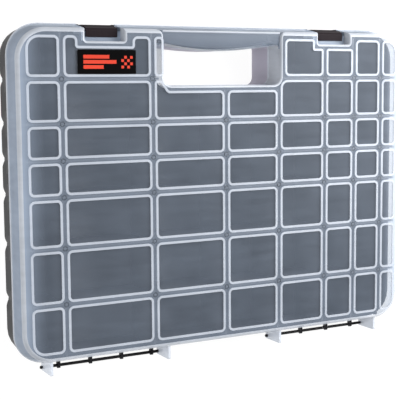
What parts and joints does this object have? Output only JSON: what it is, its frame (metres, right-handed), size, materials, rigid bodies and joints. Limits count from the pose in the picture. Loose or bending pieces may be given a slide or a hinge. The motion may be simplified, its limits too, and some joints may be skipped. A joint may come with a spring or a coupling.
{
  "type": "parts organizer",
  "caption": "Flat compartment case for small parts: black divided tray, hinged frosted lid with window rings, snap latches and a carrying slot through the top edge.",
  "frame": {"origin": "under the middle of the case, on the surface that the tray's back rests on", "axes": "+X along the width, +Y from the hinged edge to the handle edge, +Z out of the lid"},
  "size_m": [0.458, 0.3466, 0.0617],
  "materials": {
    "tray_black": "black moulded polypropylene, fine grain, satin",
    "divider_black": "black moulded polypropylene, satin",
    "lid_frosted": "frosted clear polypropylene, glossy raised rings",
    "latch_black": "brown-black moulded plastic, satin",
    "pin_black": "black plastic rod",
    "label_black": "black printed sticker with a plain warm-coloured pattern"
  },
  "bodies": {
    "tray": {"tray": "tray_black", "row_divider_1_left": "divider_black", "row_divider_1_right": "divider_black", "row_divider_2": "divider_black", "row_divider_3": "divider_black", "row_divider_4": "divider_black", "row_divider_5": "divider_black", "row_divider_6": "divider_black", "column_divider_1": "divider_black", "column_divider_2": "divider_black", "column_divider_3": "divider_black", "column_divider_4": "divider_black", "column_divider_5": "divider_black", "column_divider_6": "divider_black", "column_divider_7": "divider_black", "left_hinge_pin": "pin_black", "left_latch_pin": "pin_black", "right_hinge_pin": "pin_black", "right_latch_pin": "pin_black"},
    "lid": {"lid": "lid_frosted", "front_label": "label_black"},
    "left_latch": {"left_latch": "latch_black"},
    "right_latch": {"right_latch": "latch_black"}
  },
  "joints": [
    {"name": "lid_hinge", "type": "hinge", "parent": "tray", "child": "lid", "pos_m": [0, -0.17, 0.0317], "axis": [1, 0, 0], "range_deg": [0, 180]},
    {"name": "left_latch_hinge", "type": "hinge", "parent": "tray", "child": "left_latch", "pos_m": [-0.1364, 0.1704, 0.0295], "axis": [-1, 0, 0], "range_deg": [0, 110]},
    {"name": "right_latch_hinge", "type": "hinge", "parent": "tray", "child": "right_latch", "pos_m": [0.1364, 0.1704, 0.0295], "axis": [-1, 0, 0], "range_deg": [0, 110]}
  ]
}
